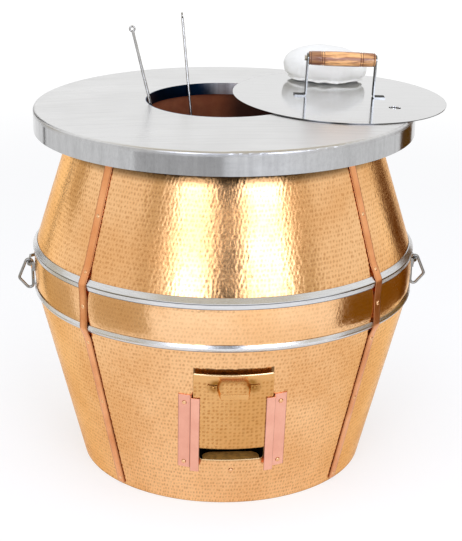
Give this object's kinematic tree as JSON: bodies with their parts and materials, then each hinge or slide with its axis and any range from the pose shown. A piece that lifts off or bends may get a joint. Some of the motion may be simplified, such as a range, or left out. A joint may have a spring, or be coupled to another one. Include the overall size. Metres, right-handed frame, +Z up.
{
  "type": "charcoal tandoor oven",
  "caption": "Barrel-shaped home tandoor of hammered brass with a clay oven pot, steel top plate, loose lid with wooden grip, sliding draft door, ring handles, skewers and a cotton bread pad.",
  "frame": {"origin": "centre of the base's underside, on the floor", "axes": "+Z up along the barrel's axis, -Y out of the draft door, +X towards the side where the lid lies"},
  "size_m": [0.8708, 0.7896, 0.9],
  "materials": {
    "brass": "hammered, polished",
    "copper": "polished copper strip",
    "rose_copper": "bright pink copper sheet",
    "steel": "satin stainless",
    "clay": "unglazed fired clay",
    "wool": "loose mineral packing",
    "wood": "turned, oiled",
    "cotton": "plain white cotton"
  },
  "bodies": {
    "tandoor": {"base_pan": "steel", "lower_front_sheet": "brass", "lower_back_sheet": "brass", "belly_band": "brass", "upper_shell": "brass", "upper_hoop": "steel", "lower_hoop": "steel", "strap_front_left": "copper", "strap_front_right": "copper", "strap_back_left": "copper", "strap_back_right": "copper", "strap_rivets": "brass", "top_plate": "steel", "mouth_collar": "steel", "pot_base": "clay", "pot_body": "clay", "insulation": "wool", "draft_sill": "brass", "sill_rivet": "brass", "door_guide_left": "rose_copper", "door_guide_right": "rose_copper", "guide_rivets": "brass", "handle_bracket_left": "steel", "handle_bracket_right": "steel", "bracket_rivets": "brass"},
    "door": {"draft_door": "brass", "door_pull": "brass", "pull_rivets": "brass"},
    "lid": {"lid_disc": "steel", "lid_leg_left": "steel", "lid_leg_right": "steel", "grip_bolt": "steel", "grip_nut": "steel"},
    "grip": {"lid_grip": "wood"},
    "pad": {"pad": "cotton"},
    "ring_left": {"handle_ring_left": "steel"},
    "ring_right": {"handle_ring_right": "steel"},
    "skewer_left": {"skewer_left": "steel"},
    "skewer_right": {"skewer_right": "steel"}
  },
  "joints": [
    {"name": "door_slide", "type": "slide", "parent": "tandoor", "child": "door", "axis": [0, -0.2382, 0.9712], "range_m": [-0.0365, 0.04]},
    {"name": "lid_lift", "type": "slide", "parent": "tandoor", "child": "lid", "axis": [0, 0, 1], "range_m": [0, 0.4]},
    {"name": "grip_turn", "type": "hinge", "parent": "lid", "child": "grip", "pos_m": [0.23627, 0.02084, 0.82083], "axis": [0.9993, 0.0004, -0.0371], "continuous": true},
    {"name": "pad_lift", "type": "slide", "parent": "lid", "child": "pad", "axis": [0, 0, 1], "range_m": [0, 0.3]},
    {"name": "ring_left_swing", "type": "hinge", "parent": "tandoor", "child": "ring_left", "pos_m": [-0.39861, -0.017, 0.40995], "axis": [0, 1, 0], "range_deg": [0, 105]},
    {"name": "ring_right_swing", "type": "hinge", "parent": "tandoor", "child": "ring_right", "pos_m": [0.39861, -0.017, 0.40995], "axis": [0, -1, 0], "range_deg": [0, 105]},
    {"name": "skewer_left_draw", "type": "slide", "parent": "tandoor", "child": "skewer_left", "axis": [-0.2229, -0.0568, 0.9732], "range_m": [0, 0.75]},
    {"name": "skewer_right_draw", "type": "slide", "parent": "tandoor", "child": "skewer_right", "axis": [-0.083, 0.168, 0.9823], "range_m": [0, 0.75]}
  ]
}
